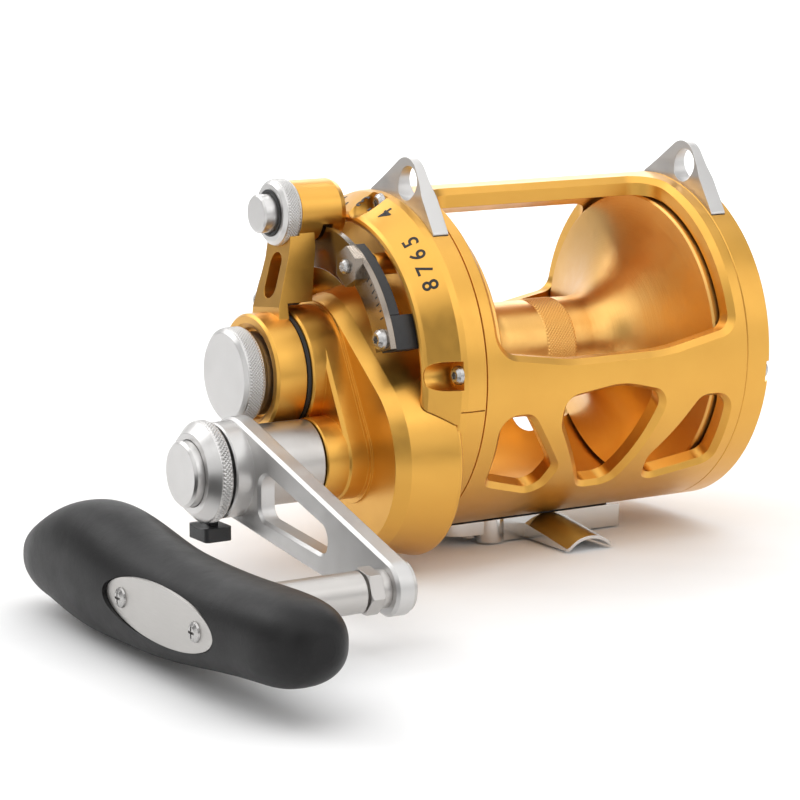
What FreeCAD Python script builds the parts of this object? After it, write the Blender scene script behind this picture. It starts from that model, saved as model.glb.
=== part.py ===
import FreeCAD, Part
import math
import os

# Two-speed lever-drag trolling reel. Millimetres.
# X runs along the spool axis and the crank side is at -X; -Y is the front, towards the rod tip;
# +Z is up. The origin is the middle of the rod seat under the foot.

# ---- driving dimensions -------------------------------------------------------------------
AXIS_Z = 60.0              # height of the spool axis over the rod seat
FRAME_R = 54.0             # outside radius of the one-piece frame
FRAME_BORE = 48.2          # inside radius of the frame
FRAME_X0, FRAME_X1 = -49.5, 48.7
WINDOW_X0, WINDOW_X1 = -44.0, 43.2
CHAMFER = 1.8              # bevel round the frame windows
BAR_FRONT, BAR_BACK = -7.0, 24.0   # front and back of the top crossbar
SPOOL_FLANGE_R = 47.3
SPOOL_HALF = 42.0          # half of the spool's width over its flanges
ARBOR_R = 15.0
SHAFT_R = 5.0
SHAFT_THIN_R = 3.6         # the spool shaft is stepped down under the pinion and the lever
RUN = 0.05                 # radial clearance of a running fit
CENTRES = 31.6             # spool axis to crank axis
CRANK_ANGLE = 230.4        # direction of the crank axis seen from the spool axis, from +Y to +Z
GEAR_MODULE = 0.8
HIGH_TEETH, HIGH_PINION_TEETH = 62, 17
LOW_TEETH, LOW_PINION_TEETH = 50, 29
BACKLASH = 0.10            # taken off each flank
CRANK_LENGTH = 89.9
ARM_ANGLE = 191.8          # direction of the crank arm at rest
LEVER_ANGLE = 84.1         # direction of the drag lever at rest
LEVER_LENGTH = 48.7
ARM_X = (-119.2, -113.8)   # faces of the crank arm
GRIP_X = -174.0            # middle plane of the grip
LUG_HOLE_R = 5.3
LUG_ANGLE = 106.2
LUG_HOLE_RADIUS = 60.0

CRANK_Y = CENTRES * math.cos(math.radians(CRANK_ANGLE))
CRANK_Z = CENTRES * math.sin(math.radians(CRANK_ANGLE))
GRIP_Y = CRANK_Y + CRANK_LENGTH * math.cos(math.radians(ARM_ANGLE))
GRIP_Z = CRANK_Z + CRANK_LENGTH * math.sin(math.radians(ARM_ANGLE))
LEVER_Y = LEVER_LENGTH * math.cos(math.radians(LEVER_ANGLE))
LEVER_Z = LEVER_LENGTH * math.sin(math.radians(LEVER_ANGLE))


# ---- helpers: heights are given from the spool axis ------------------------------------------
def at(x, y, z):
    return FreeCAD.Vector(x, y, AXIS_Z + z)


def polar(radius, angle, y=0.0, z=0.0):
    a = math.radians(angle)
    return y + radius * math.cos(a), z + radius * math.sin(a)


def rod(x0, x1, r, y=0.0, z=0.0):
    return Part.makeCylinder(r, x1 - x0, at(x0, y, z), FreeCAD.Vector(1, 0, 0))


def tube(x0, x1, r_out, r_in, y=0.0, z=0.0):
    return rod(x0, x1, r_out, y, z).cut(rod(x0 - 1, x1 + 1, r_in, y, z))


def turned(profile, y=0.0, z=0.0):
    points = [at(x, y + r, z) for x, r in profile]
    face = Part.Face(Part.makePolygon(points + points[:1]))
    return face.revolve(at(0, y, z), FreeCAD.Vector(1, 0, 0), 360)


def corner_wire(points, radii, place):
    """Closed outline with rounded corners; place turns (u, v) into a point in space."""
    n = len(points)
    starts, ends, mids = [], [], []
    for i in range(n):
        p, c, q = points[i - 1], points[i], points[(i + 1) % n]
        r = radii[i] if isinstance(radii, (list, tuple)) else radii
        a = (p[0] - c[0], p[1] - c[1])
        b = (q[0] - c[0], q[1] - c[1])
        la, lb = math.hypot(*a), math.hypot(*b)
        a, b = (a[0] / la, a[1] / la), (b[0] / lb, b[1] / lb)
        half = math.acos(max(-1.0, min(1.0, a[0] * b[0] + a[1] * b[1]))) / 2
        if r <= 0 or half > 1.565:
            starts.append(c)
            ends.append(c)
            mids.append(None)
            continue
        t = min(r / math.tan(half), 0.49 * la, 0.49 * lb)
        rr = t * math.tan(half)
        m = (a[0] + b[0], a[1] + b[1])
        lm = math.hypot(*m)
        far = rr / math.sin(half)
        centre = (c[0] + m[0] / lm * far, c[1] + m[1] / lm * far)
        starts.append((c[0] + a[0] * t, c[1] + a[1] * t))
        ends.append((c[0] + b[0] * t, c[1] + b[1] * t))
        mids.append((centre[0] - m[0] / lm * rr, centre[1] - m[1] / lm * rr))
    edges = []
    for i in range(n):
        if mids[i] is not None:
            edges.append(Part.Arc(place(*starts[i]), place(*mids[i]), place(*ends[i])).toShape())
        a, b = ends[i], starts[(i + 1) % n]
        if math.hypot(a[0] - b[0], a[1] - b[1]) > 1e-6:
            edges.append(Part.makeLine(place(*a), place(*b)))
    return Part.Wire(edges)


def plate(points, x0, x1, radii=0.0):
    """A plate square to X with outline points (y, z)."""
    wire = corner_wire(points, radii, lambda u, v: at(x0, u, v))
    return Part.Face(wire).extrude(FreeCAD.Vector(x1 - x0, 0, 0))


def column(points, z0, z1, radii=0.0):
    """A prism square to Z with outline points (x, y)."""
    wire = corner_wire(points, radii, lambda u, v: at(u, v, z0))
    return Part.Face(wire).extrude(FreeCAD.Vector(0, 0, z1 - z0))


def beam(points, y0, y1, radii=0.0):
    """A prism square to Y with outline points (x, z)."""
    wire = corner_wire(points, radii, lambda u, v: at(u, y0, v))
    return Part.Face(wire).extrude(FreeCAD.Vector(0, y1 - y0, 0))


def block(x0, x1, y0, y1, z0, z1):
    return Part.makeBox(x1 - x0, y1 - y0, z1 - z0, at(x0, y0, z0))


def belt_wire(circles, x, grow=0.0):
    """Outline of a belt round circles (y, z, r) given anticlockwise."""
    n = len(circles)
    normals = []
    for i in range(n):
        (y0, z0, r0), (y1, z1, r1) = circles[i], circles[(i + 1) % n]
        d = math.hypot(y1 - y0, z1 - z0)
        u, v = (y1 - y0) / d, (z1 - z0) / d
        s = (r0 - r1) / d
        c = math.sqrt(1 - s * s)
        normals.append((u * s + v * c, v * s - u * c))
    edges = []
    for i in range(n):
        y0, z0, r0 = circles[i]
        y1, z1, r1 = circles[(i + 1) % n]
        a0 = math.atan2(normals[i - 1][1], normals[i - 1][0])
        a1 = math.atan2(normals[i][1], normals[i][0])
        while a1 <= a0:
            a1 += 2 * math.pi
        r = r0 + grow
        pts = [at(x, y0 + r * math.cos(a), z0 + r * math.sin(a)) for a in (a0, (a0 + a1) / 2, a1)]
        edges.append(Part.Arc(*pts).toShape())
        r1 += grow
        far = at(x, y1 + r1 * normals[i][0], z1 + r1 * normals[i][1])
        edges.append(Part.makeLine(pts[2], far))
    return Part.Wire(edges)


def belt(circles, x0, x1, grow0=0.0, grow1=0.0):
    if grow0 == grow1:
        return Part.Face(belt_wire(circles, x0, grow0)).extrude(FreeCAD.Vector(x1 - x0, 0, 0))
    return Part.makeLoft([belt_wire(circles, x0, grow0), belt_wire(circles, x1, grow1)], True, True)


def sector(r_in, r_out, a0, a1, x0, x1):
    """A piece of a ring round the spool axis between two angles."""
    ring = tube(x0, x1, r_out, r_in)
    far = 3 * r_out
    steps = max(2, int((a1 - a0) / 60) + 2)
    fan = [(0, 0)] + [polar(far, a0 + (a1 - a0) * i / (steps - 1)) for i in range(steps)]
    return ring.common(plate(fan, x0 - 1, x1 + 1))


def spun(shape, angle, y=0.0, z=0.0):
    out = shape.copy()
    out.rotate(at(0, y, z), FreeCAD.Vector(1, 0, 0), angle)
    return out


def moved(shape, x, y, z):
    out = shape.copy()
    out.translate(FreeCAD.Vector(x, y, z))
    return out


def fuse(shapes):
    out = shapes[0]
    for s in shapes[1:]:
        out = out.fuse(s)
    return out.removeSplitter()


def edges_where(shape, test):
    found = []
    for e in shape.Edges:
        pts = e.discretize(7)
        if all(test(p.x, p.y, p.z - AXIS_Z) for p in pts):
            found.append(e)
    return found


def save(name, shape):
    solids = shape.Solids
    if not solids or not shape.isValid():
        print("CHECK", name, "solids", len(solids), "valid", shape.isValid())
    if len(solids) == 1:
        shape = solids[0]
    elif len(solids) > 1:
        shape = Part.makeCompound(solids)
    shape.exportStep(os.path.join("parts", name + ".step"))
    box = shape.BoundBox
    print("%-24s solids %2d  volume %9.1f  x %7.1f %7.1f"
          % (name, len(solids), shape.Volume, box.XMin, box.XMax))


def torx_screw(x, y, z, head_r, head_h, shank_r, shank_l, lobe=0.42):
    """Button-head screw; the head points to -X and its underside is at x."""
    head = turned([(x - head_h, 0), (x - head_h, head_r * 0.62), (x - head_h * 0.55, head_r * 0.92),
                   (x, head_r), (x, 0)], y, z)
    body = head.fuse(rod(x, x + shank_l, shank_r, y, z))
    socket = rod(x - head_h - 1, x - head_h * 0.35, head_r * lobe * 0.78, y, z)
    for i in range(6):
        ly, lz = polar(head_r * lobe * 0.72, 60 * i, y, z)
        socket = socket.fuse(rod(x - head_h - 1, x - head_h * 0.35, head_r * lobe * 0.28, ly, lz))
    return body.cut(socket)


def gear_face(teeth, x, phase, y, z):
    """Involute tooth outline; a tooth is centred on the direction phase (degrees)."""
    pitch_r = GEAR_MODULE * teeth / 2
    base_r = pitch_r * math.cos(math.radians(20))
    tip_r = pitch_r + 0.9 * GEAR_MODULE
    root_r = pitch_r - 1.2 * GEAR_MODULE
    inv_pitch = math.tan(math.radians(20)) - math.radians(20)
    half_pitch = math.pi / (2 * teeth) - BACKLASH / pitch_r

    def half_angle(r):
        r = max(r, base_r)
        a = math.acos(base_r / r)
        return half_pitch + inv_pitch - (math.tan(a) - a)

    radii = [root_r, max(root_r + 0.05, base_r), pitch_r, tip_r]
    points = []
    for i in range(teeth):
        centre = math.radians(phase) + 2 * math.pi * i / teeth
        for r in radii:
            points.append((r, centre - half_angle(r)))
        for r in reversed(radii):
            points.append((r, centre + half_angle(r)))
    corners = [at(x, y + r * math.cos(a), z + r * math.sin(a)) for r, a in points]
    return Part.Face(Part.makePolygon(corners + corners[:1]))


def gear(teeth, x0, x1, phase, y, z):
    return gear_face(teeth, x0, phase, y, z).extrude(FreeCAD.Vector(x1 - x0, 0, 0))


def coil(x0, turns, pitch, r, wire, y=0.0, z=0.0):
    """A compression spring along X starting at x0."""
    helix = Part.makeHelix(pitch, pitch * turns, r)
    section = Part.Wire(Part.makeCircle(wire, FreeCAD.Vector(r, 0, 0), FreeCAD.Vector(0, 1, 0)))
    spring = Part.Wire(helix.Edges).makePipeShell([section], True, True)
    spring.rotate(FreeCAD.Vector(0, 0, 0), FreeCAD.Vector(0, 1, 0), 90)
    return moved(spring, x0, y, AXIS_Z + z)


os.makedirs("parts", exist_ok=True)

# ---- frame ----------------------------------------------------------------------------------
LOWER_WINDOWS = [
    ([(-42.4, -13.5), (-32.7, -13.5), (-18.6, 6.2), (-21.2, 17.0), (-41.6, 9.7)], [7.2, 4.2, 4, 4.5, 3]),
    ([(-19.3, -17.6), (1.0, -20.2), (17.9, -16.2), (6.3, 16.4), (-4.0, 16.4), (-19.2, -10.1)],
     [6, 30, 4.5, 4.5, 4.5, 5]),
    ([(43.0, -13.3), (32.7, -13.5), (18.8, 6.8), (20.6, 17.6), (43.4, 11.4)], [6, 4.2, 4.5, 4.5, 4]),
]
LOWER_DIRECTION = 208.0    # the lower windows are cut along this radius


def lower_cut(points, radii, mirror):
    tilt = LOWER_DIRECTION - 180.0

    def place(u, v):
        return at(u, -30.0, -v)
    face = Part.Face(corner_wire(points, radii, place))
    cut = spun(face.extrude(FreeCAD.Vector(0, -40, 0)), tilt)
    if mirror:
        cut = cut.mirror(FreeCAD.Vector(0, 0, 0), FreeCAD.Vector(0, 1, 0))
    return cut


def upper_cut(front):
    edge = BAR_FRONT if front else BAR_BACK
    far = -70.0 if front else 70.0
    top = column([(WINDOW_X0, far), (WINDOW_X0, edge), (WINDOW_X1, edge), (WINDOW_X1, far)], -5, 70,
                 [0, 9, 9, 0])
    middle = (WINDOW_X0 + WINDOW_X1) / 2
    low = [(WINDOW_X0, 70), (WINDOW_X0, 8.4), (middle - 18, 4.6), (middle + 18, 4.6),
           (WINDOW_X1, 9.6), (WINDOW_X1, 70)]
    face = beam(low, min(0, far), max(0, far), [0, 7, 60, 60, 5, 0])
    return top.common(face)


frame = tube(FRAME_X0, FRAME_X1, FRAME_R, FRAME_BORE)
cuts = [upper_cut(True), upper_cut(False)]
for pts, rad in LOWER_WINDOWS:
    cuts.append(lower_cut(pts, rad, False))
    cuts.append(lower_cut(pts, rad, True))
for c in cuts:
    frame = frame.cut(c)


def on_window_rim(x, y, z):
    return abs(math.hypot(y, z) - FRAME_R) < 0.02 and FRAME_X0 + 1 < x < FRAME_X1 - 1


frame = frame.makeChamfer(CHAMFER, edges_where(frame, on_window_rim))

# foot screw holes in the belly of the frame
FOOT_SCREWS = [(x, y) for x in (-27.0, 22.0) for y in (-8.0, 8.0)]
for sx, sy in FOOT_SCREWS:
    frame = frame.cut(Part.makeCylinder(1.5, 12, at(sx, sy, -58)))

# ---- screws round both side plates -----------------------------------------------------------
PLATE_SCREW_ANGLES = [19.0, 96.0, 176.6, 290.0]
OFF_SCREW_ANGLES = [19.0, 96.0, 186.0, 290.0]
SCREW_RADIUS = 50.9
NOTCH_R = 4.4
NOTCH_FLOOR_X = -57.8
for a in PLATE_SCREW_ANGLES:
    frame = frame.cut(rod(FRAME_X0 - 1, FRAME_X0 + 5.2, 1.5, *polar(SCREW_RADIUS, a)))
for a in OFF_SCREW_ANGLES:
    frame = frame.cut(rod(FRAME_X1 - 5.2, FRAME_X1 + 1, 1.5, *polar(SCREW_RADIUS, a)))
save("frame", frame)

# ---- handle-side plate --------------------------------------------------------------------------
PLATE_WALL_X = -53.0
CREST_X, CREST_R = -68.3, 46.5     # middle of the rounded crest
COVER_X = -59.0            # joint between side plate and gear cover
HOUSING = [(0.0, 0.0, 23.0), (CRANK_Y, CRANK_Z, 30.0)]
BAND_X, FACE_X = -74.0, -78.5
CAVITY = [(0.0, 0.0, 14.0), (CRANK_Y, CRANK_Z, 26.4)]
crest = [(CREST_X + 2.6, CREST_R + 2.4), (CREST_X + 1.3, CREST_R + 1.6), (CREST_X + 0.4, CREST_R + 0.8),
         (CREST_X, CREST_R - 0.1), (CREST_X + 0.2, CREST_R - 1.0), (CREST_X + 0.9, CREST_R - 1.5)]
plate_l = turned([(-49.5, 0), (-49.5, 53.5), (-50.0, FRAME_R), (-56.5, FRAME_R), (-58.5, 53.5)] + crest
                 + [(COVER_X, CREST_R - 1.6), (COVER_X, 0)])
plate_l = plate_l.cut(sector(40.0, 60.0, 193.0, 330.0, -75.0, COVER_X))
plate_l = plate_l.cut(belt(HOUSING, BAND_X, COVER_X, 0.3, 3.8))
plate_l = plate_l.cut(belt([(0.0, 0.0, 14.0), (CRANK_Y, CRANK_Z, 21.6)], COVER_X - 10, PLATE_WALL_X))
plate_l = plate_l.cut(rod(-54, -49, 11.0))
plate_l = plate_l.cut(tube(-50.2, -49, 47.0, 12.5))
plate_l = plate_l.cut(rod(-54, -49, 7.0, CRANK_Y, CRANK_Z))
DOG_ANGLES = [60.0, 240.0]
DOG_PIVOT_R = 42.6
for a in DOG_ANGLES:
    plate_l = plate_l.cut(rod(-52.3, -49, 1.3, *polar(DOG_PIVOT_R, a)))
screws = []
for a in PLATE_SCREW_ANGLES[:3]:
    sy, sz = polar(SCREW_RADIUS, a)
    ny, nz = polar(SCREW_RADIUS + 8, a)
    notch = belt([(sy, sz, NOTCH_R), (ny, nz, NOTCH_R)], -67.5, NOTCH_FLOOR_X)
    end = turned([(-67.5 - NOTCH_R, 0), (-67.5 - NOTCH_R * 0.7, NOTCH_R * 0.7), (-67.5, NOTCH_R), (-67.5, 0)],
                 sy, sz)
    plate_l = plate_l.cut(notch.fuse(end)).cut(rod(-60, -49, 1.6, sy, sz))
    screws.append(torx_screw(NOTCH_FLOOR_X, sy, sz, 3.0, 1.9, 1.5, 12.8))
sy, sz = polar(SCREW_RADIUS, PLATE_SCREW_ANGLES[3])
plate_l = plate_l.cut(rod(-60, -49, 1.6, sy, sz)).cut(rod(-61, -55.0, 3.3, sy, sz))
screws.append(torx_screw(-55.0, sy, sz, 3.0, 1.9, 1.5, 10.0))

# harness lug seats are milled into the rims of both side plates
LUG_SINK_R = 51.2


def lug(x0, x1):
    hole_y, hole_z = polar(LUG_HOLE_RADIUS, LUG_ANGLE)
    mid = (x0 + x1) / 2
    a_y, a_z = polar(FRAME_R + 0.4, 85.6)
    b_y, b_z = polar(FRAME_R + 0.4, 127.2)
    c_y, c_z = polar(LUG_SINK_R - 4, 126.4)
    d_y, d_z = polar(LUG_SINK_R - 4, 86.6)
    body = plate([(a_y, a_z), (hole_y, hole_z + 10.8), (b_y, b_z), (c_y, c_z), (d_y, d_z)],
                 x0, x1, [0.6, 7.4, 0.8, 0, 0])
    body = body.common(beam([(x0, 30), (x1, 30), (x1, 54.0), (mid + 1.95, 57.6), (mid + 1.25, 68),
                             (mid - 1.25, 68), (mid - 1.95, 57.6), (x0, 54.0)], -60, 20,
                            [0, 0, 6, 20, 0, 0, 20, 6]))
    body = body.cut(rod(x0 - 1, x1 + 1, LUG_SINK_R))
    body = body.cut(rod(x0 - 1, x1 + 1, 1.7, *polar(SCREW_RADIUS, PLATE_SCREW_ANGLES[1])))
    body = body.cut(rod(x0 - 1, x1 + 1, LUG_HOLE_R, hole_y, hole_z))
    return body.removeSplitter()


def lug_seat(x0, x1):
    return sector(LUG_SINK_R, FRAME_R + 5, 85.3, 127.6, x0, x1)


LUG_L, LUG_R = (-55.8, -50.4), (49.6, 55.0)
plate_l = plate_l.cut(lug_seat(LUG_L[0] - 0.05, LUG_L[1] + 0.05))
# narrow groove where the lower panel meets the plate
plate_l = plate_l.cut(block(COVER_X + 0.6, -50.2, -60.0, -52.0, -8.3, -7.9))
QUADRANT_POSTS = [24.0, 122.0, 160.0]
POST_R = 40.2
for a in QUADRANT_POSTS:
    sy, sz = polar(POST_R, a)
    plate_l = plate_l.fuse(rod(-70.6, COVER_X + 0.5, 3.4, sy, sz)).cut(rod(-71, -60, 1.5, sy, sz))
COVER_SCREWS = [polar(29.6, a, CRANK_Y, CRANK_Z) for a in (308.0, 330.0, 352.0)]
for sy, sz in COVER_SCREWS:
    plate_l = plate_l.cut(rod(COVER_X - 1, -56.4, 1.3, sy, sz))
plate_l = plate_l.removeSplitter()
save("handle_side_plate", plate_l)

# ---- gear cover with the crank boss and the lever boss -------------------------------------------
LEVER_BOSS_X, CRANK_BOSS_X = -90.3, -93.0
cover = fuse([
    belt(HOUSING, BAND_X, COVER_X, 0.0, 3.4),
    belt(HOUSING, FACE_X, BAND_X, -2.2, 0.0),
    belt([(0.0, 0.0, 20.7), (CRANK_Y, CRANK_Z, 15.0)], FACE_X - 0.8, FACE_X + 1.0),
    belt([(0.0, 0.0, 19.8), (CRANK_Y, CRANK_Z, 13.4)], -85.0, FACE_X),
    belt([(0.0, 0.0, 19.8), (CRANK_Y, CRANK_Z, 13.4)], -86.0, -85.0, -1.0, 0.0),
    turned([(LEVER_BOSS_X, 0), (LEVER_BOSS_X, 19.2), (LEVER_BOSS_X + 0.6, 19.8), (-76, 19.8), (-76, 0)]),
    turned([(CRANK_BOSS_X, 0), (CRANK_BOSS_X, 12.4), (CRANK_BOSS_X + 0.4, 12.8), (-76, 12.8), (-76, 0)],
           CRANK_Y, CRANK_Z),
])
cover = cover.cut(belt(CAVITY, -66.6, COVER_X + 1))
cover = cover.cut(rod(-91, -74.0, 15.6))
cover = cover.cut(rod(-76, -59, SHAFT_THIN_R + RUN))
cover = cover.cut(rod(-96, -60, 8.5, CRANK_Y, CRANK_Z))
cover_screws = []
for sy, sz in COVER_SCREWS:
    cover = cover.cut(rod(-67, -59, 1.35, sy, sz)).cut(rod(-80, -66.0, 2.5, sy, sz))
    cover_screws.append(torx_screw(-66.0, sy, sz, 2.35, 1.5, 1.3, 9.4))
save("gear_cover", cover)
save("cover_screws", Part.makeCompound(cover_screws))

# ---- off-side plate ---------------------------------------------------------------------------------
plate_r = turned([(48.7, 53.5), (49.2, FRAME_R), (57.4, FRAME_R), (58.4, 53.0), (58.4, 30.0), (59.4, 28.6),
                  (59.4, 13.0), (60.6, 12.0), (60.6, 0), (50.5, 0), (50.5, 8.0), (55.4, 8.4), (55.4, 46.5),
                  (48.7, 47.6)])
plate_r = plate_r.cut(rod(50, 56.6, SHAFT_R))
OFF_FLOOR_X = 56.6
off_screws = []
for a in OFF_SCREW_ANGLES:
    sy, sz = polar(SCREW_RADIUS, a)
    ny, nz = polar(SCREW_RADIUS + 8, a)
    plate_r = plate_r.cut(belt([(sy, sz, 3.4), (ny, nz, 3.4)], OFF_FLOOR_X, 62.0))
    plate_r = plate_r.cut(rod(48, 57, 1.6, sy, sz))
    screw = torx_screw(-OFF_FLOOR_X, sy, sz, 3.0, 1.9, 1.5, 12.6)
    off_screws.append(screw.mirror(FreeCAD.Vector(0, 0, 0), FreeCAD.Vector(1, 0, 0)))
plate_r = plate_r.cut(lug_seat(LUG_R[0] - 0.05, LUG_R[1] + 0.05))
CLICK_ANGLE = 60.0
CLICK_SLOT_R = 28.0
click_slot = spun(block(50, 62, CLICK_SLOT_R - 6.4, CLICK_SLOT_R + 3.2, -1.9, 1.9), CLICK_ANGLE)
plate_r = plate_r.cut(click_slot)
save("off_side_plate", plate_r)
save("plate_screws", Part.makeCompound(screws + off_screws))
save("harness_lug_crank_side", lug(*LUG_L))
save("harness_lug_off_side", lug(*LUG_R))

# ---- foot ------------------------------------------------------------------------------------------
SEAT_R = 11.0              # radius of the rod saddle
SEAT_HALF = 7.8            # half of its width
SEAT_HALF_LENGTH = 38.0
seat_z = -AXIS_Z - math.sqrt(SEAT_R ** 2 - SEAT_HALF ** 2)
plan = column([(-38, -13), (-38, 13), (29, 14), (29, -14)], -61, -48, [7, 7, 1.5, 1.5])
side_view = beam([(-38.5, -57.0), (-24.0, -57.4), (-19.0, -60.2), (29.5, -60.2), (29.5, -48), (-38.5, -48)],
                 -20, 20, [2.0, 3, 2, 1.2, 0, 0])
foot = plan.common(side_view)
foot = foot.fuse(Part.makeCylinder(4.6, 12.0, at(-20.5, -10.6, -60.2)))
foot = foot.fuse(Part.makeCylinder(4.6, 12.0, at(-20.5, 10.6, -60.2)))
SADDLE_MID, SADDLE_END = SEAT_R + 4.2, SEAT_R + 1.0   # outer radii of the arched saddle
seat_axis = FreeCAD.Vector(0, 1, 0)
saddle = Part.makeCylinder(SADDLE_MID, 24, FreeCAD.Vector(0, -12, AXIS_Z + seat_z), seat_axis)
for way in (-1, 1):
    cone = Part.makeCone(SADDLE_MID, SADDLE_END, SEAT_HALF_LENGTH - 12, FreeCAD.Vector(0, 12 * way, AXIS_Z + seat_z),
                         FreeCAD.Vector(0, way, 0))
    saddle = saddle.fuse(cone)
saddle = saddle.common(column([(-8.6, -38), (8.6, -38), (8.6, 38), (-8.6, 38)], -60.0, -50, 1.2))
foot = foot.fuse(saddle)
foot = foot.cut(Part.makeCylinder(SEAT_R, 90, FreeCAD.Vector(0, -45, AXIS_Z + seat_z), FreeCAD.Vector(0, 1, 0)))
foot = foot.cut(rod(-60, 60, FRAME_R + 0.6))
foot = foot.removeSplitter()
CLAMP_HOLES = [(-29.5, 0.0), (21.5, 0.0)]
CLAMP_HOLE_R = 2.5
for hx, hy in CLAMP_HOLES:
    foot = foot.cut(Part.makeCylinder(CLAMP_HOLE_R, 30, at(hx, hy, -70)))
for sx, sy in FOOT_SCREWS:
    foot = foot.cut(Part.makeCylinder(1.6, 20, at(sx, sy, -66)))
    foot = foot.cut(Part.makeCylinder(2.9, 9.6, at(sx, sy, -66.5)))
save("foot", foot)
gasket = column([(-33, -12.6), (-33, 12.6), (26, 12.6), (26, -12.6)], -58, -49, 4.0)
gasket = gasket.common(tube(-40, 40, FRAME_R + 0.55, FRAME_R + 0.02))
for sx, sy in FOOT_SCREWS:
    gasket = gasket.cut(Part.makeCylinder(1.7, 20, at(sx, sy, -66)))
for hx, hy in CLAMP_HOLES:
    gasket = gasket.cut(Part.makeCylinder(CLAMP_HOLE_R + 0.2, 20, at(hx, hy, -66)))
save("foot_gasket", gasket)
foot_screws = []
for sx, sy in FOOT_SCREWS:
    head = Part.makeCylinder(2.7, 1.8, at(sx, sy, -58.7))
    head = head.cut(Part.makeCylinder(1.0, 1.0, at(sx, sy, -58.8)))
    shank_top = -math.sqrt(FRAME_BORE ** 2 - (abs(sy) + 1.5) ** 2)
    foot_screws.append(head.fuse(Part.makeCylinder(1.5, shank_top + 58.0, at(sx, sy, -58.0))).removeSplitter())
save("foot_screws", Part.makeCompound(foot_screws))

# ---- spool, its bearings and the fixed shaft ----------------------------------------------------
def smooth_turned(runs):
    """Solid of revolution; each run of (x, radius) points is one edge, a spline if it has over two points."""
    edges = []
    for run in runs:
        points = [at(x, r, 0) for x, r in run]
        if len(points) == 2:
            edges.append(Part.makeLine(points[0], points[1]))
        else:
            curve = Part.BSplineCurve()
            curve.interpolate(points)
            edges.append(curve.toShape())
    face = Part.Face(Part.Wire(Part.__sortEdges__(edges)))
    return face.revolve(at(0, 0, 0), FreeCAD.Vector(1, 0, 0), 360)


RIM_L, RIM_R = -SPOOL_HALF, 44.4    # outer faces of the two flanges
flare_r = [(15.0, ARBOR_R), (19.0, ARBOR_R + 0.1), (23.0, 16.1), (27.0, 18.3), (31.0, 22.4), (34.6, 28.0),
           (37.6, 34.4), (39.8, 41.0), (41.0, 46.7)]
flare_l = [(-14.0, ARBOR_R), (-18.0, ARBOR_R + 0.1), (-21.6, 16.1), (-25.4, 18.3), (-29.2, 22.4), (-32.8, 28.0),
           (-35.8, 34.4), (-38.0, 41.0), (-39.2, 46.7)]
back_r = [(RIM_R, 44.2), (42.4, 40.0), (40.3, 34.0), (37.2, 27.6), (34.2, 22.6), (31.0, 18.0)]
back_l = [(RIM_L, 44.2), (-40.8, 40.0), (-38.6, 34.0), (-35.4, 27.6), (-32.4, 22.6), (-29.2, 18.0)]
rim_pts = [flare_r[-1], (41.6, SPOOL_FLANGE_R), (RIM_R - 0.6, SPOOL_FLANGE_R), (RIM_R, 46.7), back_r[0]]
hub_pts = [back_r[-1], (30.0, 14.0), (42.0, 12.5), (42.0, 9.5), (37.0, 9.5), (37.0, 6.6), (-37.0, 6.6),
           (-37.0, 9.5), (-42.0, 9.5), (-42.0, 12.5), (-28.2, 14.0), back_l[-1]]
rim_l_pts = [back_l[0], (RIM_L, 46.7), (RIM_L + 0.6, SPOOL_FLANGE_R), (-39.8, SPOOL_FLANGE_R), flare_l[-1]]
runs = [[flare_l[0], flare_r[0]], flare_r, back_r, list(reversed(back_l)), list(reversed(flare_l))]
for chain in (rim_pts, hub_pts, rim_l_pts):
    runs += [[chain[i], chain[i + 1]] for i in range(len(chain) - 1)]
spool = smooth_turned(runs)
save("spool", spool)
bearings = [turned([(a, 9.45), (a + 0.3, 9.48), (b - 0.3, 9.48), (b, 9.45), (b, SHAFT_R + RUN), (a, SHAFT_R + RUN)])
            for a, b in ((-42.0, -37.05), (37.05, 42.0))]
save("spool_bearings", Part.makeCompound(bearings))
shaft = fuse([rod(-45.6, 56.6, SHAFT_R), rod(-103.5, -45.6, SHAFT_THIN_R)])
save("spool_shaft", shaft)

# ---- drag: brake disc on the spool, friction washer and ratchet rotor on the pinion ----------------
disc = turned([(-43.6, 12.8), (-43.6, 45.6), (-43.2, 46.0), (-42.05, 46.0), (-42.05, 12.8)])
save("brake_disc", disc)
save("drag_washer", tube(-46.1, -43.66, 35.4, 20.0))
RATCHET_TEETH = 30
RATCHET_TIP, RATCHET_ROOT = 38.0, 36.0
ratchet_pts = []
for i in range(RATCHET_TEETH):
    ratchet_pts.append(polar(RATCHET_TIP, 360.0 * i / RATCHET_TEETH))
    ratchet_pts.append(polar(RATCHET_ROOT, 360.0 * (i + 0.12) / RATCHET_TEETH))
rotor = plate(ratchet_pts, -48.9, -46.15)
rotor = fuse([rotor, rod(-54.4, -48.0, 7.0)])
rotor = rotor.cut(rod(-60, -40, SHAFT_THIN_R + RUN))
save("drag_rotor", rotor)
pinion_bearing = turned([(-53.0, 10.98), (-53.0, 7.0 + RUN), (-49.2, 7.0 + RUN), (-49.2, 10.98)])
save("pinion_bearing", pinion_bearing)

# ---- gear train: a pinion cluster on the spool shaft, two main gears on the crank shaft -----------
GEAR_X = (-65.2, -59.4)    # high-speed main gear
LOW_X = (-58.2, -54.7)     # low-speed main gear
pinion = fuse([
    gear(LOW_PINION_TEETH, -58.4, -54.45, CRANK_ANGLE + 180.0 / LOW_PINION_TEETH, 0, 0),
    rod(-59.0, -58.4, 4.9),
    gear(HIGH_PINION_TEETH, -65.6, -59.0, CRANK_ANGLE + 180.0 / HIGH_PINION_TEETH, 0, 0),
])
pinion = pinion.cut(rod(-70, -50, SHAFT_THIN_R + RUN))
save("pinion", pinion)

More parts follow.
